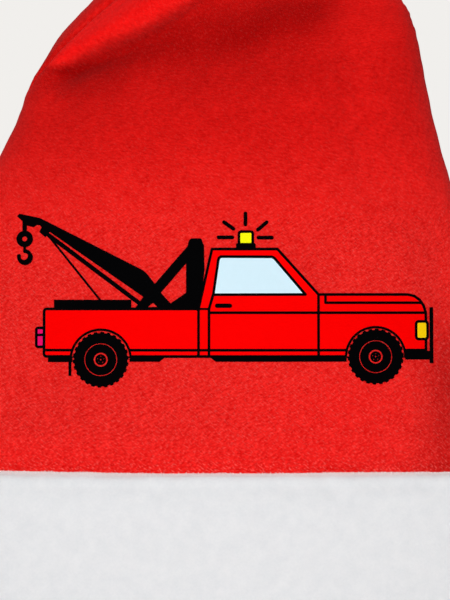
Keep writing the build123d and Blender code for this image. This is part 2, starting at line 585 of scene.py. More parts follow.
# The lower edge of the roll that hangs over on the left, the dip that carries it on
# to the right, and the crease across the back: x and z in mm.
ROLL_EDGE = (
    (-100, 244.5), (-76, 242), (-65, 242.2), (-57, 243.4), (-49, 246), (-40, 249.2),
    (-31, 252.6), (-22, 256.4), (-14, 261), (-6, 266.5), (4, 274), (16, 284),
)  # fmt: skip
DIP = (
    (-84, 246), (-68, 243.8), (-60, 242), (-54, 242.6), (-44, 244.4), (-32, 248), (-16, 250.4),
    (0, 253), (18, 256), (37, 260.8), (46, 266), (56, 276),
)  # fmt: skip
BACK_CREASE = ((-100, 246), (-40, 249), (10, 252), (60, 250), (100, 246))


def front_folds(settings, place):
    """How far the front panel stands off the cone, in mm."""
    x, z = place[..., 0], place[..., 2]
    above = off_line(x, z, ROLL_EDGE)
    # The roll swells quickly above its edge, and the cloth tucks in below it.
    swell = np.clip(above / 9.0, 0, None)
    roll = settings.bulge / MM * swell * np.exp(1 - swell) * (above > 0)
    roll *= np.interp(x, (-90, -64, -50, -10, 20), (0.2, 0.7, 1.0, 1.0, 0.4))
    tuck = np.interp(x, (-80, -68, -60, -44, -18, 5), (0.0, 0.75, 1.0, 0.75, 0.3, 0.0))
    crease = -settings.crease / MM * tuck * hump(above, 0, np.where(above < 0, 6.5, 3.2))
    # To the right the fold runs out in a wide dip.
    beside = off_line(x, z, DIP)
    dip = -4.2 * hump(x, 12, 42) * hump(beside, 0, np.where(beside < 0, 17.0, 11.0))
    hollow = -2.5 * hump(x, 16, 24) * hump(z, 264, 14)
    # A soft ridge down the right, with a flatter facet beyond it.
    ridge_x = 44 - 0.10 * (z - 240)
    ridge = 2.2 * hump(x, ridge_x, 12) * ease(z, 175, 215) * (1 - ease(z, 262, 285))
    facet = 1.4 * hump(x, 70, 15) * ease(z, 190, 225)
    # Slack waves lower down, the cloth full just above the brim, and a fold at the right.
    slack = 1.1 * np.sin(x / 27 + 0.8) * hump(z, 205, 34)
    full = 1.0 * hump(z, 89, 9)
    fold = -2.2 * hump(x, 99 - 0.12 * (z - 120), 9)
    fold *= (1 - ease(z, 150, 200)) * ease(z, 84, 100)
    return crease + roll + dip + hollow + ridge + facet + slack + full + fold


def back_folds(settings, place):
    """How far the back panel stands off the cone, in mm."""
    x, z = place[..., 0], place[..., 2]
    above = off_line(x, z, BACK_CREASE)
    depth = np.interp(x, (-80, -50, -10, 30, 60, 85), (0.1, 0.6, 0.9, 0.8, 0.5, 0.1))
    crease = -settings.crease / MM * depth * hump(above, 0, np.where(above < 0, 13.0, 6.0))
    roll = 3.4 * hump(above, 13, 8) * hump(x, -5, 45)
    second = -2.0 * hump(z - 0.3 * x, 214, 9) * hump(x, 48, 24)
    slack = 1.3 * np.sin(x / 31 + 2.0) * hump(z, 200, 36)
    full = 1.0 * hump(z, 89, 9)
    shoulder = 3.0 * hump(x, -70, 14) * hump(z, 251, 9)
    return crease + roll + second + slack + full + shoulder


def front_shade_and_highlight(place):
    """Painted shade and highlight on the front panel: 1 is the deepest painted shade and -1 the
    brightest painted highlight.
    """
    x, z = place[..., 0], place[..., 2]
    # Painted shade darkens the upper cone, and a painted highlight lightens a strip just above the
    # brim.
    shade_and_highlight = 0.31 * ease(z, 180, 222) + 0.14 * ease(z, 224, 240) - 0.18 * hump(z, 82, 9)
    # Painted shade lies in a band along the dip, and deeper in the crease at its left end.
    beside = off_line(x, z, DIP)
    left = ease(x, -74, -58) * (1 - ease(x, -40, -28))
    band = np.interp(
        x,
        (-78, -68, -62, -56, -44, -34, 40, 48, 58, 68),
        (0, 0.1, 0.3, 0.37, 0.36, 0.36, 0.36, 0.3, 0.14, 0),
    )
    shade_and_highlight += band * hump(beside, 0, np.where(beside < 0, 8.5 + 5.0 * left, 14.0))
    shade_and_highlight += 0.2 * np.interp(x, (-70, -61, -50, -34), (0, 1, 0.9, 0)) * hump(beside, 0, 2.6)
    shade_and_highlight *= 1 - 0.5 * ease(x, 43, 62)
    # Painted shade in patches down the right, and a painted highlight in a patch above the brim.
    shade_and_highlight += 0.15 * hump(x, 78, 8) * hump(z, 236, 18)
    shade_and_highlight += 0.46 * hump(x, 96, 13) * (1 - ease(z, 122, 148))
    shade_and_highlight -= 0.3 * hump(x, 52, 34) * hump(z, 104, 16)
    # The roll gets painted highlight in place of the rest, where it faces the light.
    on_roll = ease(off_line(x, z, ROLL_EDGE), -0.5, np.interp(x, (-60, -42), (4.0, 7.5)))
    return shade_and_highlight * (1 - on_roll) - np.interp(x, (-50, -20), (0.66, 0.42)) * on_roll


def back_painted_shade(place):
    """Painted shade on the back panel: darker up the cone and along the crease."""
    x, z = place[..., 0], place[..., 2]
    above = off_line(x, z, BACK_CREASE)
    crease = hump(x, -5, 60) * hump(above, 0, np.where(above < 0, 10.0, 7.0))
    return 0.25 * ease(z, 180, 235) + 0.35 * crease


def drooping_folds(up, share):
    """Folds where the cloth is squeezed inside the bend, and none outside it."""
    start, end = KNOTS[8], KNOTS[-3]
    inside = ease(share, 0.25, 0.9) * ease(up, start, start + 25) * (1 - ease(up, end - 20, end))
    wave = np.sin((up - start) / 4.1 + 0.9 * np.sin(share * 5.0))
    drag = 0.9 * np.sin((up - start) / 13.0 + 3.0 * share) * ease(up, start + 20, start + 60)
    return 1.7 * inside * wave + drag * (1 - ease(up, end, end + 20))


def panel_places(up, side, settings):
    """Places on a panel's outer face: distance round the cone from the middle of the
    panel and depth below its surface, its seams' ends, and a quarter of the girth.

    side is 1 for the front panel and -1 for the back one. The flat cloth comes
    between the turns into both seams, and the allowances come at the ends.
    """
    _, _, _, half_width, half_depth = crown_sections(up)
    quarter = quarter_girth(half_width, half_depth)
    # Towards the narrow tip the seams take up less cloth.
    turn = np.minimum(settings.turn / MM, 0.22 * half_width)
    allowance = np.minimum(settings.allowance / MM, 0.35 * half_width)
    # The left seam wanders 19 mm to the front where the top folds over.
    wander = 19.0 * ease(up, KNOTS[5], KNOTS[7] + 6) * (1 - ease(up, KNOTS[9], KNOTS[12]))
    ends = {-1: quarter - side * wander[:, None], 1: quarter}
    flat = np.linspace(-1, 1, COLUMNS)[None, :]
    along = np.where(flat < 0, flat * (ends[-1] - turn), flat * (ends[1] - turn))
    depth = np.zeros_like(along)
    # The two allowances of a seam touch at their inner edges, so no light gets in.
    gap = 0.08
    bend = np.radians((18, 36, 54, 72, 90))[None, :]
    inwards = np.array((0.3, 0.65, 1.0))[None, :]
    for hand in (-1, 1):
        round_it = ends[hand] - turn - gap + turn * np.sin(bend)
        seam_along = hand * np.hstack((round_it, ends[hand] - gap * (1 - inwards)))
        seam_depth = np.hstack((turn * (1 - np.cos(bend)), turn + allowance * inwards))
        if hand > 0:
            along, depth = np.hstack((along, seam_along)), np.hstack((depth, seam_depth))
        else:
            along = np.hstack((seam_along[:, ::-1], along))
            depth = np.hstack((seam_depth[:, ::-1], depth))
    return along, depth, ends, quarter


def make_panel(name, side, seed, settings, material):
    """One panel of the cone as a closed sheet, its side edges turned in."""
    up = np.linspace(0, KNOTS[-1], ROWS)
    along, depth, ends, quarter = panel_places(up, side, settings)
    share = along / quarter
    # Round the cone from the middle of its front, the back panel starts at 2 quarters.
    place_share = share if side > 0 else 2 - share
    place = crown_place(up, place_share)
    outwards = crown_outwards(up, place_share)

    free = ease(up, 14, 26)[:, None]  # the cloth is held below the brim's top
    level = up[:, None]
    closing = 1 - ease(level, KNOTS[-1] - 14, KNOTS[-1] - 2)
    from_seam = np.minimum(ends[1] - along, ends[-1] + along)
    fold = front_folds(settings, place) if side > 0 else back_folds(settings, place)
    fold = fold * (1 - ease(level, KNOTS[8], KNOTS[10])) + drooping_folds(level, share)
    # Both panels stand off alike along a seam, and the stitches draw it in.
    fold *= ease(from_seam, 0, 22)
    pucker = 0.12 * hump(from_seam, 4.5, 3.0) * np.sin(level / 1.75 + 1.3 * np.sin(level / 9))
    pull = -0.6 * hump(from_seam, 0, 6.0)
    waves = settings.waves / MM
    wide = waves * soft_noise(place, 62.0, seed) + 0.35 * waves * soft_noise(place, 24.0, seed + 1)
    wide *= ease(from_seam, 0, 14)
    tucked = -1.3 * hump(place[..., 2], BRIM_TOP, 3.2)
    nap = soft_noise(place, 4.6, seed + 2) + 0.7 * soft_noise(place, 2.6, seed + 3)
    nap *= settings.nap / MM * (0.35 + 0.65 * ease(from_seam, 6, 20))
    off = free * closing * (fold + pucker + pull + wide + nap) + tucked * closing
    outer = place + outwards * (off - depth)[..., None]
    inner = outer - thickness_ways(outer, side) * settings.thickness / MM

    shade_and_highlight = front_shade_and_highlight(place) if side > 0 else back_painted_shade(place)
    # Painted highlight gives way to slight painted shade in the seams, painted shade runs beside
    # the right one higher up, and all of it fades out where the top hangs over.
    shade_and_highlight = np.where(shade_and_highlight < 0, shade_and_highlight + (0.1 - shade_and_highlight) * (1 - ease(from_seam, 0.5, 6.5)), shade_and_highlight)
    shade_and_highlight = shade_and_highlight + 0.22 * (1 - ease(ends[1] - along, 2, 16)) * ease(level, KNOTS[3], KNOTS[4])
    shade_and_highlight = shade_and_highlight * (1 - ease(level, KNOTS[7], KNOTS[9]))
    # Fuzz turns the flecks and adds stray fibres, and it also makes the tips paler and pinker:
    # painted sheen, fullest low down and just above the brim.
    fuzz_and_sheen = 1 - 0.8 * ease(place[..., 2], 150, 225) + 1.6 * hump(place[..., 2], BRIM_TOP, 3)
    if side < 0:
        outer, inner, shade_and_highlight, fuzz_and_sheen = (v[:, ::-1] for v in (outer, inner, shade_and_highlight, fuzz_and_sheen))
        along = -along[:, ::-1]
    points, faces = shell_of(outer, inner)
    piece = new_piece(name, points, faces, [material])
    flat_places = np.stack((along, np.broadcast_to(level, along.shape)), axis=-1)
    add_cloth_map(piece, np.concatenate((flat_places.reshape(-1, 2),) * 2))
    add_attribute(piece, "nap_lie", np.tile(shade_and_highlight.ravel(), 2))
    add_attribute(piece, "nap_fuzz", np.tile(fuzz_and_sheen.ravel(), 2))
    return piece


def thickness_ways(outer, side):
    """Directions out of a panel, which its thickness follows."""
    ways = unit(np.cross(np.gradient(outer, axis=1), np.gradient(outer, axis=0)))
    middle = ways[2, ways.shape[1] // 2]
    return ways if middle[1] * side < 0 else -ways


class HAT_OT_crown(bpy.types.Operator):
    """Make the cone's two fleece panels, with their folds and seams"""

    bl_idname = "hat.crown"
    bl_label = "Crown"

    def execute(self, context):
        settings = context.scene.hat_crown
        material = fleece_material(settings)
        for which, side, seed in (("front", 1, 11), ("back", -1, 37)):
            piece = make_panel(f"crown_{which}_skin", side, seed, settings, material)
            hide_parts(f"crown_{which}_panel")
        return {"FINISHED"}


# Tufts of pile


def tuft_tree(name):
    """Short curved tufts over a mesh: nodes with named sizes and a fixed seed."""
    tree = bpy.data.node_groups.new(name, "GeometryNodeTree")
    face = tree.interface
    face.new_socket("Geometry", in_out="INPUT", socket_type="NodeSocketGeometry")
    for label, kind, value in (
        ("Spacing", "NodeSocketFloat", 0.0012),
        ("Density", "NodeSocketFloat", 500000.0),
        ("Length", "NodeSocketFloat", 0.005),
        ("Thickness", "NodeSocketFloat", 0.001),
        ("Lean", "NodeSocketFloat", 0.4),
        ("Seed", "NodeSocketInt", 1),
    ):
        face.new_socket(label, in_out="INPUT", socket_type=kind).default_value = value
    face.new_socket("Material", in_out="INPUT", socket_type="NodeSocketMaterial")
    face.new_socket("Geometry", in_out="OUTPUT", socket_type="NodeSocketGeometry")
    node = partial(add, tree)
    given = node("NodeGroupInput").outputs

    # One tuft: a bent spindle, three-sided, as long as 1 and pointed at its end.
    spine = node(
        "GeometryNodeCurveQuadraticBezier",
        {"Resolution": 3, "Start": (0, 0, -0.1), "Middle": (0, 0, 0.55), "End": (0.42, 0, 0.95)},
    )
    part = node("GeometryNodeSplineParameter").outputs["Factor"]
    taper = node(
        "ShaderNodeMapRange",
        {"Value": part, "From Min": 0.2, "From Max": 1.0, "To Min": 1.0, "To Max": 0.22},
    )
    tapered = node("GeometryNodeSetCurveRadius", {"Curve": spine, "Radius": taper})
    ring = node("GeometryNodeCurvePrimitiveCircle", {"Resolution": 3, "Radius": 0.5})
    slim = node("ShaderNodeMath", {0: given["Thickness"], 1: given["Length"]}, operation="DIVIDE")
    scale = node("ShaderNodeCombineXYZ", {"X": slim, "Y": slim, "Z": 1.0})
    slim_ring = node("GeometryNodeTransform", {"Geometry": ring, "Scale": scale})
    tuft = node(
        "GeometryNodeCurveToMesh",
        {"Curve": tapered, "Profile Curve": slim_ring, "Fill Caps": True},
    )

    # Tufts stand all over the mesh, each leaning its own way and of its own length.
    spread = node(
        "GeometryNodeDistributePointsOnFaces",
        {
            "Mesh": given["Geometry"],
            "Distance Min": given["Spacing"],
            "Density Max": given["Density"],
            "Seed": given["Seed"],
        },
        distribute_method="POISSON",
    )
    swing = node(
        "FunctionNodeRandomValue",
        {"Min": (-1, -1, 0), "Max": (1, 1, 2 * math.pi), "Seed": given["Seed"]},
        data_type="FLOAT_VECTOR",
    )
    amount = node("ShaderNodeCombineXYZ", {"X": given["Lean"], "Y": given["Lean"], "Z": 1.0})
    lean = node("ShaderNodeVectorMath", {0: swing, 1: amount}, operation="MULTIPLY")
    turned = node(
        "FunctionNodeRotateRotation",
        {"Rotation": spread.outputs["Rotation"], "Rotate By": lean},
        rotation_space="LOCAL",
    )
    longer = node(
        "FunctionNodeRandomValue",
        {"Min": 0.75, "Max": 1.15, "Seed": given["Seed"]},
        data_type="FLOAT",
    )
    size = node("ShaderNodeMath", {0: longer, 1: given["Length"]}, operation="MULTIPLY")
    placed = node(
        "GeometryNodeInstanceOnPoints",
        {"Points": spread.outputs["Points"], "Instance": tuft, "Rotation": turned, "Scale": size},
    )
    real = node("GeometryNodeRealizeInstances", {"Geometry": placed})
    smooth = node("GeometryNodeSetShadeSmooth", {"Geometry": real})
    painted = node("GeometryNodeSetMaterial", {"Geometry": smooth, "Material": given["Material"]})
    node("NodeGroupOutput", {0: painted})
    return tree


def grow_tufts(name, mesh, values):
    """A piece of tufts over a mesh, which it takes the place of."""
    tree = tuft_tree(f"{name}_tree")
    piece = new_object(name, mesh)
    modifier = piece.modifiers.new("Tufts", "NODES")
    modifier.node_group = tree
    for item in tree.interface.items_tree:
        if item.in_out == "INPUT" and item.name in values:
            modifier[item.identifier] = values[item.name]
    piece.data.update()
    apply_modifiers(piece)
    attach(piece, BODY)
    return piece


# The brim


def closed_line(points, spacing):
    """Places about spacing apart on a smooth closed line through points."""
    points = np.asarray(points, float)
    lap = 3  # points by which the line overlaps itself, so its ends run on smoothly
    wrapped = np.concatenate((points[-lap:], points, points[: lap + 1]))
    knots = np.concatenate(([0], np.cumsum(np.linalg.norm(np.diff(wrapped, axis=0), axis=1))))
    start, end = knots[lap], knots[lap + len(points)]
    count = int(round((end - start) / spacing))
    at = start + (end - start) * np.arange(count) / count
    return smooth_curve(knots, wrapped, at)


def brim_line(settings):
    """The brim's section: distance out from the cone, and height, in mm."""
    out = settings.ply / MM
    return (
        (0.45, 67.6), (0.4, 71.5), (0.4, 75.5), (1.3, 78.6), (3.6, 80.4), (6.4, 79.2),
        (8.0, 75.5), (out, 69), (out + 0.3, 55), (out + 0.4, 38), (out + 0.2, 20),
        (out - 0.3, 9), (out - 2.2, 3.2), (out - 6.0, -0.5), (0.4, -0.7), (-2.6, -0.5),
        (-5.6, 2.6), (-7.6, 8), (-8.1, 22), (-8.2, 45), (-8.0, 66), (-7.5, 73.4),
        (-5.6, 76.0), (-3.7, 74.8), (-2.95, 71.5), (-2.9, 67.6), (-1.25, 66.6),
    )  # fmt: skip


def puff(piece, held, frames, most, grow):
    """Blows a closed piece up as cloth, with held points kept and no point moved
    further than most millimetres, and leaves the result in its mesh."""
    group = piece.vertex_groups.new(name="sewn")
    group.add(np.flatnonzero(held).tolist(), 1.0, "REPLACE")
    cloth = piece.modifiers.new("Padding", "CLOTH")
    for name, value in {
        "quality": 5,
        "mass": 0.15,
        "tension_stiffness": 12,
        "compression_stiffness": 12,
        "shear_stiffness": 6,
        "bending_stiffness": 0.6,
        "shrink_min": -grow,
        "use_pressure": True,
        "uniform_pressure_force": 4,
        "vertex_group_mass": group.name,
    }.items():
        setattr(cloth.settings, name, value)
    cloth.settings.effector_weights.gravity = 0
    cloth.point_cache.frame_start = 1
    cloth.point_cache.frame_end = frames
    for step in range(1, frames + 1):
        bpy.context.scene.frame_set(step)
    evaluated = piece.evaluated_get(bpy.context.evaluated_depsgraph_get())
    before, after = points_of(piece.data), points_of(evaluated.data)
    move = after - before
    size = np.linalg.norm(move, axis=1, keepdims=True)
    after = before + move * np.minimum(1, most / np.maximum(size, 1e-6))
    piece.modifiers.remove(cloth)
    piece.vertex_groups.remove(group)
    bpy.context.scene.frame_set(1)
    piece.data.vertices.foreach_set("co", (after * MM).ravel())
    piece.data.update()


def subdivide(piece, levels):
    modifier = piece.modifiers.new("Smooth", "SUBSURF")
    modifier.levels = modifier.render_levels = levels
    apply_modifiers(piece)


def displace(piece, heights):
    """Moves each point along its normal by heights, in mm."""
    mesh = piece.data
    normals = np.empty(3 * len(mesh.vertices))
    mesh.vertices.foreach_get("normal", normals)
    points = points_of(mesh) + normals.reshape(-1, 3) * heights[:, None]
    points[:, 2] = np.maximum(points[:, 2], 0)
    mesh.vertices.foreach_set("co", (points * MM).ravel())
    mesh.update()


def outer_side(places):
    """1 on the brim's outer ply, 0 on its inner one."""
    deep = (places[:, 0] / OPENING[0]) ** 2 + (places[:, 1] / OPENING[1]) ** 2
    return (deep > 1.02) * 1.0


def make_brim(settings, material):
    """The padded brim: the plush strip's section carried round the opening."""
    quarter = quarter_girth(*OPENING)
    line = closed_line(brim_line(settings), spacing=4.4)
    out, height = line.T
    # Stations stand 5.2 mm apart, and closer where the strip's two ends meet.
    stations = np.arange(0, 4 * quarter, 5.2)
    search = np.linspace(quarter, 3 * quarter, 4001)
    seam = search[np.argmin(np.abs(oval_place(*OPENING, search)[0] - BRIM_SEAM_X))]
    stations = stations[np.abs(stations - seam) > 5]
    stations = np.sort(np.append(stations, seam + np.array((-3.4, -1.7, -0.8, 0, 0.8, 1.7, 3.4))))
    x, y, way_x, way_y = (v[:, None] for v in oval_place(*OPENING, stations))
    points = np.stack(np.broadcast_arrays(x + way_x * out, y + way_y * out, height), axis=-1)
    faces = grid_faces(len(stations) + 1, len(line), closed=True) % (points.size // 3)
    piece = new_piece("brim_plush", points.reshape(-1, 3), faces, [material])
    in_slot = (height > 62) & (out < 3.0) & (out > -5.0)
    at_floor = height < 1.2
    held = np.tile(in_slot | at_floor, len(stations))
    puff(piece, held, frames=20, most=settings.padding / MM, grow=0.012)
    subdivide(piece, levels=2)

    places = points_of(piece.data)
    x, y, z = places.T
    outer = outer_side(places)
    lumps = soft_noise(places, 7.0, 5) + 0.8 * soft_noise(places, 3.4, 6)
    lumps = settings.lumps / MM * lumps
    wide = 0.8 * soft_noise(places, 45.0, 8)
    # Clumps of the pile and slow waves, flat on the floor and less on the top edge
    free = ease(z, 0.5, 8) * (1 - 0.6 * ease(z, 76, 80))
    groove = -2.2 * hump(x, BRIM_SEAM_X, 1.5) * (y > 0) * outer
    # The plush is cut and sewn, so its top edge is squarer than the puffed plies leave it.
    edge = 1.3 * hump(z, 76.2, 2.1) * outer
    # The brim hangs a little slack, so its top edge dips in the middle of the front.
    sag = np.interp(
        x,
        (-125, -90, -64, -44, -34, -24, -4, 26, 36, 46, 56, 66, 76, 90, 120),
        (0, 0.25, 0.27, 0.15, -0.2, -0.62, -0.78, -0.65, -0.36, -0.1, 0, -0.1, -0.37, -0.5, 0),
    )
    sag *= hump(z, 80.4, 2.2) * outer * (y < 0)
    displace(piece, free * (lumps + wide) + groove + edge + sag)
    # Painted reflection: a pink tint of light off the red cloth along the seam, and painted
    # highlight: the rounded top edge lifted to near white.
    bounce_tint = 0.5 * hump(z, 80.0, 0.9) * (1 + 0.4 * soft_noise(places, 22.0, 9))
    add_attribute(piece, "thin_pile", bounce_tint * outer)
    add_attribute(piece, "fringe", ease(z, 76.4, 78.6) * outer)
    return piece


def edge_band(piece):
    """A copy of the brim's mesh with only its rounded top edge."""
    places = points_of(piece.data)
    edge_start = 76.5
    kept = (outer_side(places) > 0) & (places[:, 2] > edge_start)
    band = bmesh.new()
    band.from_mesh(piece.data)
    left_out = [v for v, keep in zip(band.verts, kept) if not keep]
    bmesh.ops.delete(band, geom=left_out, context="VERTS")
    mesh = bpy.data.meshes.new("brim_edge_band")
    band.to_mesh(mesh)
    band.free()
    return mesh


class HAT_OT_brim(bpy.types.Operator):
    """Make the padded plush brim, folded at the bottom"""

    bl_idname = "hat.brim"
    bl_label = "Brim"

    def execute(self, context):
        settings = context.scene.hat_brim
        material = plush_material("short_pile_plush_white", settings, 0.005)
        piece = make_brim(settings, material)
        values = {
            "Spacing": 0.0007,
            "Length": settings.pile,
            "Thickness": 0.0003,
            "Lean": 0.5,
            "Seed": 5,
            "Material": material,
        }
        pile = grow_tufts("brim_edge_pile", edge_band(piece), values)
        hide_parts("brim")
        return {"FINISHED"}


# The pompom


def make_pompom_core(settings, material):
    """The pompom's ball, drawn in to a pocket that holds the tip of the cone."""
    x, z, lean, *tip = CROWN_LEVELS[-1]
    lean, tip = math.radians(lean), np.array(tip)
    along = np.array((math.sin(lean), 0, math.cos(lean)))
    across = np.array((math.cos(lean), 0, -math.sin(lean)))
    radius = (settings.radius - 0.75 * settings.pile) / MM  # the pile covers the rest
    middle = settings.radius / MM - 9.0  # 9 mm of the tip are in the pocket
    neck, sides = 13.0, 96
    opening = math.asin(neck / radius)
    lip = middle - radius * math.cos(opening)
    # Each ring: distance past the tip, and its two half sizes. They come up beside the
    # tip from below its end, turn out over the lip and go on round the ball.
    pocket = ((0.9, -4.0), (0.6, 0.8), (-0.5, 1.0), (-3.0, 1.2))
    rings = [(past, *(tip + room)) for past, room in pocket]
    rings += [(lip + 2.4 * s, *(neck + (tip + 1.4 - neck) * s)) for s in (0.85, 0.55, 0.25)]
    for turn in np.linspace(opening, math.pi - 0.03, 56):
        half = radius * math.sin(turn)
        rings.append((middle - radius * math.cos(turn), half, half))
    past, half_width, half_depth = np.array(rings).T[..., None, None]
    turns = np.linspace(0, 2 * math.pi, sides, endpoint=False)[:, None]
    points = np.array((x, 0, z)) + along * past
    points = points + half_width * np.cos(turns) * across
    points = points + half_depth * np.sin(turns) * (0, 1, 0)
    last = (len(rings) - 1) * sides
    ends = [range(sides)[::-1], range(last, last + sides)]
    faces = [*grid_faces(len(rings), sides, closed=True), *ends]
    piece = new_piece("pompom_core", points.reshape(-1, 3), faces, [material])
    finish_mesh(piece)
    return piece


class HAT_OT_pompom(bpy.types.Operator):
    """Make the pompom: a gathered ball with its pile of tufts"""

    bl_idname = "hat.pompom"
    bl_label = "Pompom"

    def execute(self, context):
        settings = context.scene.hat_pompom
        material = plush_material("brushed_yarn_white", settings, 0.0025)
        core = make_pompom_core(settings, material)
        values = {
            "Spacing": settings.spacing,
            "Length": settings.pile,
            "Thickness": settings.tuft,
            "Lean": 0.38,
            "Seed": 23,
            "Material": material,
        }
        pile = grow_tufts("pompom_pile", core.data.copy(), values)
        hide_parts("pompom")
        return {"FINISHED"}


# The print


def polygon(*points):
    return [Vector(p) for p in points]


def box(left, low, right, high):
    return polygon((left, low), (right, low), (right, high), (left, high))


def arc(middle, radius, turns):
    """Points at a distance from a middle, in the directions of the turns in radians."""
    x, z = middle
    return polygon(*((x + radius * math.cos(t), z + radius * math.sin(t)) for t in turns))


def disc(middle, radius, sides):
    return arc(middle, radius, [2 * math.pi * i / sides for i in range(sides)])


def half_disc(middle, radius, low):
    """The part of a disc above a level."""
    start = math.asin((low - middle[1]) / radius)
    return arc(middle, radius, np.linspace(start, math.pi - start, 28))


def rounded_box(left, low, right, high, radius):
    """A box whose corners are arcs of four points."""
    left, low, right, high = left + radius, low + radius, right - radius, high - radius
    points = []
    for i, middle in enumerate(((right, high), (left, high), (left, low), (right, low))):
        points += arc(middle, radius, np.radians(90 * i + np.arange(0, 91, 30)))
    return points


def stroke(points, width):
    """Polygons of a line of even width with round joints."""
    shapes = []
    points = polygon(*points)
    for a, b in zip(points, points[1:]):
        way = (b - a).normalized() * (width / 2)
        side = Vector((-way.y, way.x))
        shapes.append([a - side, b - side, b + side, a + side])
    return shapes + [disc(p, width / 2, 12) for p in points]


def tyre(middle, radius, lugs, step):
    """A wheel's outline with lugs all round, and gaps that are a step deep."""
    points = []
    for i in range(lugs):
        for share, out in ((0.08, 0), (0.52, 0), (0.62, -step), (0.98, -step)):
            points += arc(middle, radius + out, [2 * math.pi * (i + share) / lugs])
    return points


def truck_shapes(line):
    """A tow-truck pictogram as polygons in painting order, x and height in mm."""
    shapes = []

    def paint(ink, *polygons):
        shapes.extend((ink, p) for p in polygons)

    def outline(points, width=line):
        paint("black", *stroke(points, width))

    def edged(ink, points):
        paint(ink, points)
        outline([*points, points[0]])

    bed_left, bed_right, bed_top, floor, band = -66.8, -5.0, 144.4, 125.4, 127.9
    door_back, door_front, nose = -0.8, 43.0, 85.9
    roof, belt, bonnet = 168.4, 142.9, 150.2
    # Middle of each wheel and radius of its arch
    wheels = ((-44.1, 124.1, 12.52), (65.8, 125.3, 12.33))
    tyre_radius, rim_radius, hub_radius = 11.2, 6.55, 2.8

    # Boom with its nose and sheave, strut and cable, pulley and hook
    boom = polygon(
        (-77.9, 181.8), (-76.9, 182.8), (-68.6, 181.0), (-27.2, 159.9), (-25.7, 158.6),
        (-22.5, 154.5), (-13.5, 144.6), (-19.6, 144.6), (-23.0, 147.3), (-27.2, 149.3),
        (-64.6, 175.3), (-67.6, 176.8), (-68.7, 178.1), (-69.8, 178.2), (-71.2, 177.3),
        (-73.8, 178.0),
    )  # fmt: skip
    paint("black", boom)
    paint("black", polygon((-68.9, 175.4), (-68.0, 177.4), (-64.6, 175.6), (-66.4, 173.2)))
    outline([(-65.0, 174.0), (-28.8, 146.8)], 1.75)
    outline([(-65.0, 173.6), (-44.4, 148.0)], 0.85)
    pulley, hook = (-74.75, 172.6), (-74.75, 165.4)
    paint("black", box(-75.7, 173.5, -73.9, 180.5), disc(pulley, 3.35, 30))
    paint("none", disc(pulley, 1.0, 18))
    outline([(pulley[0], 169.6), (pulley[0], 168.0)], 1.1)
    for turn in range(86, -200, -11):
        # The hook is thickest at its foot and thin at its point.
        here = math.radians(turn)
        thick = 0.8 + 0.38 * max(0.0, math.cos(math.radians(turn + 50)))
        spot = (hook[0] + 2.3 * math.cos(here), hook[1] + 2.3 * math.sin(here))
        paint("black", disc(spot, thick, 14))

    # Mast, with bare cloth showing inside its frame
    mast = polygon(
        (-9.4, 169.6), (-8.8, 172.0), (-7.9, 172.7), (-4.0, 172.7), (-2.8, 169.8),
        (-2.6, 160.0), (-4.4, 144.6), (-30.5, 144.6), (-25.9, 151.0), (-22.6, 154.4),
    )  # fmt: skip
    paint("black", mast)
    paint("none", polygon((-10.0, 162.6), (-10.0, 150.9), (-16.2, 146.7), (-20.1, 150.9)))
    paint("none", polygon((-25.2, 145.2), (-21.4, 145.2), (-23.3, 146.8)))

    # Bed, with the chest on it
    edged("red", rounded_box(bed_left, floor, bed_right, bed_top, 0.9))
    paint("black", box(-62.9, bed_top, -31.9, 148.1))

    # Cab and bonnet in one outline, then the band, the doors' edges and the window
    body = polygon(
        (bed_right, floor), (bed_right, bed_top), (0.4, roof), (26.6, roof),
        (door_front, bonnet), (78.7, bonnet), (81.3, 149.6), (83.5, 148.0),
        (85.0, 145.8), (nose, belt), (nose, floor),
    )  # fmt: skip
    edged("red", body)
    outline([(bed_left, band), (nose, band)])
    outline([(bed_right, bed_top), (door_back, bed_top)], 0.8 * line)
    outline([(door_back, floor), (door_back, bed_top), (0.9, 150.2)])
    outline([(door_front, floor), (door_front, bonnet)])
    outline([(door_back, belt), (nose, belt)])
    outline([(45.8, bonnet), (45.8, 146.9), (84.2, 146.9)])
    outline([(2.4, 145.7), (7.6, 145.7)], 1.75)
    window = polygon(
        (2.9, 163.9), (3.2, 164.9), (4.0, 165.4), (24.4, 165.3), (25.4, 164.8), (37.8, 150.2),
        (0.9, 150.1),
    )  # fmt: skip
    edged("sky", window)

    # Sills, bumper and push bar
    foot = floor - 2.1
    paint("black", box(-65.2, foot - 0.2, -55.4, floor), box(-57.0, 117.6, -55.8, floor))
    paint("black", polygon((-32.6, floor), (-18.0, floor), (-20.6, foot), (-32.6, foot)))
    paint("black", polygon((-0.8, floor), (54.2, floor), (54.2, foot), (1.9, foot)))
    paint("black", box(77.6, 124.1, 88.4, 127.6), box(87.4, 122.6, 88.9, 145.1))

    # Wheels, each in its arch, with bare cloth between tyre and arch and in the rings
    for *wheel, arch_radius in wheels:
        paint("black", half_disc(wheel, arch_radius, floor))
        paint("none", half_disc(wheel, arch_radius - 0.87 * line, floor))
        paint("black", tyre(wheel, tyre_radius, lugs=26, step=0.5))
        for radius, width in ((rim_radius, 0.3), (hub_radius, 0.62)):
            paint("none", disc(wheel, radius, 44))
            paint("black", disc(wheel, radius - width, 44))
        for i in range(5):
            turn = math.radians(90 + 72 * i)
            bolt = (wheel[0] + 1.3 * math.cos(turn), wheel[1] + 1.3 * math.sin(turn))
            paint("none", disc(bolt, 0.17, 8))
        paint("none", disc(wheel, 0.3, 10))

    # Lamps
    edged("amber", rounded_box(82.0, 132.3, 86.6, 139.4, 1.0))
    edged("magenta", rounded_box(-69.9, 129.2, bed_left, 136.8, 0.8))
    outline([(-69.9, 134.0), (bed_left, 134.0)])

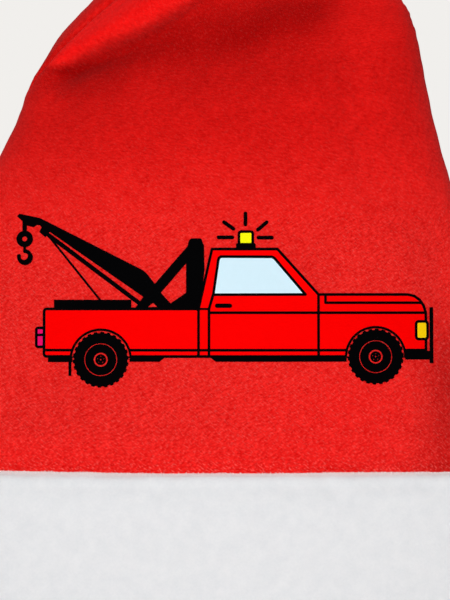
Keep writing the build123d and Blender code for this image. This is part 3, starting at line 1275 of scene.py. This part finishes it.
    # Beacon and its rays
    edged("yellow", rounded_box(11.2, 170.3, 16.7, 175.4, 0.8))
    paint("black", rounded_box(10.0, 168.4, 17.9, 170.8, 0.7))
    for ray in (
        ((19.0, 173.0), (24.4, 173.0)),
        ((18.8, 176.2), (22.3, 179.2)),
        ((13.8, 178.3), (13.8, 182.7)),
        ((9.0, 176.5), (5.2, 179.2)),
        ((8.5, 173.1), (3.0, 173.1)),
    ):
        outline(ray, 1.5)
    return shapes


def anticlockwise(points):
    area = sum(a.x * b.y - b.x * a.y for a, b in zip(points, points[1:] + points[:1]))
    return points if area > 0 else points[::-1]


def split_edges(points, spacing):
    """The same outline with a point at least every spacing."""
    result = []
    for a, b in zip(points, points[1:] + points[:1]):
        steps = max(1, math.ceil((b - a).length / spacing))
        result += [a.lerp(b, i / steps) for i in range(steps)]
    return result


def film_triangles(shapes, spacing):
    """Points, triangles and the colour of each from shapes in painting order."""
    points, loops = [], []
    for _, shape in shapes:
        first = len(points)
        points += split_edges(anticlockwise(shape), spacing)
        loops.append(list(range(first, len(points))))
    low = np.min(points, axis=0) - spacing
    high = np.max(points, axis=0) + spacing
    # Rows of points between the outlines, so the film can follow the cloth.
    for row, z in enumerate(np.arange(low[1], high[1], 0.87 * spacing)):
        for x in np.arange(low[0] + spacing / 2 * (row % 2), high[0], spacing):
            points.append(Vector((x, z)))
    # Every triangle, with points within 0.003 mm of each other made one
    flat, _, faces, _, _, owners = delaunay_2d_cdt(points, [], loops, 0, 0.003)
    top_ink = [shapes[max(owner)][0] if owner else "none" for owner in owners]
    kept = [(list(face), ink) for face, ink in zip(faces, top_ink) if ink != "none"]
    return np.array([tuple(p) for p in flat]), kept


def make_print(settings, front):
    """The print as a thin closed film that follows the front panel's cloth."""
    flat, kept = film_triangles(truck_shapes(settings.line / MM), spacing=1.8)
    used = sorted({i for face, _ in kept for i in face})
    renumber = {old: new for new, old in enumerate(used)}
    tree = BVHTree.FromPolygons(
        [v.co.copy() for v in front.data.vertices],
        [tuple(p.vertices) for p in front.data.polygons],
    )
    top = []
    for x, z in flat[used]:
        # The print was pressed on while the cloth lay flat, so it is wider round the sides.
        x += 0.4 * (x / 80) ** 3
        hit = tree.ray_cast(Vector((x * MM, -0.3, z * MM)), Vector((0, 1, 0)))[0]
        if hit is None:
            raise RuntimeError(f"the print misses the front panel at {x:.1f}, {z:.1f}")
        top.append(np.array(hit) / MM - (0, settings.film / MM, 0))
    # The film's back lies 1.1 mm behind its front, inside the cloth.
    points = np.concatenate((top, np.array(top) + (0, 1.1, 0)))
    count = len(top)

    inks = ("black", "red", "sky", "yellow", "amber", "magenta")
    faces = [[renumber[i] for i in face] for face, _ in kept]
    colours = [inks.index(ink) for _, ink in kept]
    edge_colour = {}
    for face, ink in zip(faces, colours):
        edge_colour.update(dict.fromkeys(zip(face, face[1:] + face[:1]), ink))
    rim = {(a, b): ink for (a, b), ink in edge_colour.items() if (b, a) not in edge_colour}
    faces += [[i + count for i in face[::-1]] for face in faces]
    faces += [[b, a, a + count, b + count] for a, b in rim]
    colours += colours + list(rim.values())
    materials = [
        film_material(f"transfer_film_{ink}", tuple(getattr(settings, ink))) for ink in inks
    ]
    piece = new_piece("print_film", points, faces, materials)
    piece.data.polygons.foreach_set("material_index", colours)
    finish_mesh(piece, sharp=rim)
    return piece


class HAT_OT_print(bpy.types.Operator):
    """Print the pictogram on the front panel as a thin film"""

    bl_idname = "hat.print"
    bl_label = "Print"

    def execute(self, context):
        make_print(context.scene.hat_print, bpy.data.objects["crown_front_skin"])
        return {"FINISHED"}


# The stage


def add_soft_sun(name, azimuth, elevation, spread, strength):
    """A wide soft light from far off, in degrees: azimuth 0 is the front."""
    lamp = bpy.data.lights.new(name, "SUN")
    lamp.energy, lamp.angle = strength, math.radians(spread)
    thing = new_object(name, lamp)
    turn, rise = math.radians(azimuth), math.radians(elevation)
    from_it = Vector(
        (math.sin(turn) * math.cos(rise), -math.cos(turn) * math.cos(rise), math.sin(rise))
    )
    thing.location = 2 * from_it
    thing.rotation_euler = (-from_it).to_track_quat("-Z", "Y").to_euler()


class HAT_OT_stage(bpy.types.Operator):
    """Set up the floor, the soft lights, the world and the camera"""

    bl_idname = "hat.stage"
    bl_label = "Stage"

    def execute(self, context):
        scene = context.scene
        settings = scene.hat_stage
        scene.view_settings.view_transform = "Standard"

        camera = bpy.data.cameras.new("camera")
        # The frame is 4 to 3 and upright, so the sensor's 36 mm run up it.
        camera.lens = 36 * settings.distance / (settings.width * 4 / 3)
        camera.clip_end = 50
        eye = new_object("camera", camera)
        # It looks straight at the cone's front, 50 mm before the hat's middle.
        eye.location = (0.0056, -0.05 - settings.distance, 0.148)
        eye.rotation_euler = (math.pi / 2, 0, 0)
        scene.camera = eye

        # A board painted a matt pale grey: near even, its grain only just visible.
        floor, node = new_material("matt_painted_board")
        where = node("ShaderNodeTexCoord").outputs["Object"]
        grain = node(
            "ShaderNodeTexNoise",
            {"Vector": where, "Scale": 1 / 0.02, "Detail": 2.0, "Roughness": 0.55},
        )
        pale = tuple(settings.floor)
        paint = node(
            "ShaderNodeMix",
            {"Factor": grain, "A": dimmed(pale, 0.98), "B": pale},
            data_type="RGBA",
        )
        shader = node("ShaderNodeBsdfPrincipled", {"Base Color": paint, "Roughness": 0.9})
        # The camera sees the board mostly at its own pale colour, under its shadows.
        glow = node("ShaderNodeEmission", {"Color": pale, "Strength": 0.95})
        on_camera = node("ShaderNodeLightPath").outputs["Is Camera Ray"]
        share = node("ShaderNodeMath", {0: on_camera, 1: 0.55}, operation="MULTIPLY")
        seen = node("ShaderNodeMixShader", {0: share, 1: shader, 2: glow})
        node("ShaderNodeOutputMaterial", {"Surface": seen})
        # Its top is a little below the hat, so the two never lie in one plane.
        mesh = bpy.data.meshes.new("floor")
        corners = [(x, y, -0.0004) for x, y in ((-6, -6), (6, -6), (6, 6), (-6, 6))]
        mesh.from_pydata(corners, [], [(0, 1, 2, 3)])
        mesh.materials.append(floor)
        new_object("floor", mesh)

        world = bpy.data.worlds.new("studio")
        world.use_nodes = True
        world.node_tree.nodes.clear()
        node = partial(add, world.node_tree)
        on_camera = node("ShaderNodeLightPath").outputs["Is Camera Ray"]
        light = node("ShaderNodeBackground", {"Color": (1, 1, 1), "Strength": 0.3})
        backdrop = {"Color": linear("#F1EFEC"), "Strength": 1.0}
        seen = node("ShaderNodeBackground", backdrop)
        mix = node("ShaderNodeMixShader", {0: on_camera, 1: light, 2: seen})
        node("ShaderNodeOutputWorld", {"Surface": mix})
        scene.world = world

        add_soft_sun("front_light", azimuth=-4, elevation=9, spread=34, strength=2.17)
        add_soft_sun("top_light", azimuth=150, elevation=55, spread=50, strength=0.9)
        return {"FINISHED"}


# The add-on


# The stage comes first, and the print after the crown that carries it.
PARTS = (
    ("hat_stage", HatStageSettings, HAT_OT_stage),
    ("hat_crown", HatCrownSettings, HAT_OT_crown),
    ("hat_brim", HatBrimSettings, HAT_OT_brim),
    ("hat_pompom", HatPompomSettings, HAT_OT_pompom),
    ("hat_print", HatPrintSettings, HAT_OT_print),
)


class HAT_PT_parts(bpy.types.Panel):
    """Lists the hat's pieces and their sizes"""

    bl_label = "Plush Santa Hat"
    bl_idname = "HAT_PT_parts"
    bl_space_type = "VIEW_3D"
    bl_region_type = "UI"
    bl_category = "Hat"

    def draw(self, context):
        for group, _, maker in PARTS:
            column = self.layout.box().column(align=True)
            column.operator(maker.bl_idname)
            settings = getattr(context.scene, group)
            for name in settings.__annotations__:
                column.prop(settings, name)


def register():
    for name, group, maker in PARTS:
        bpy.utils.register_class(group)
        setattr(bpy.types.Scene, name, PointerProperty(type=group))
        bpy.utils.register_class(maker)
    bpy.utils.register_class(HAT_PT_parts)


def unregister():
    bpy.utils.unregister_class(HAT_PT_parts)
    for name, group, maker in reversed(PARTS):
        bpy.utils.unregister_class(maker)
        delattr(bpy.types.Scene, name)
        bpy.utils.unregister_class(group)


def main():
    register()
    bpy.ops.hat.stage()
    bpy.ops.hat.crown()
    bpy.ops.hat.brim()
    bpy.ops.hat.pompom()
    bpy.ops.hat.print()


if __name__ == "__main__":
    main()
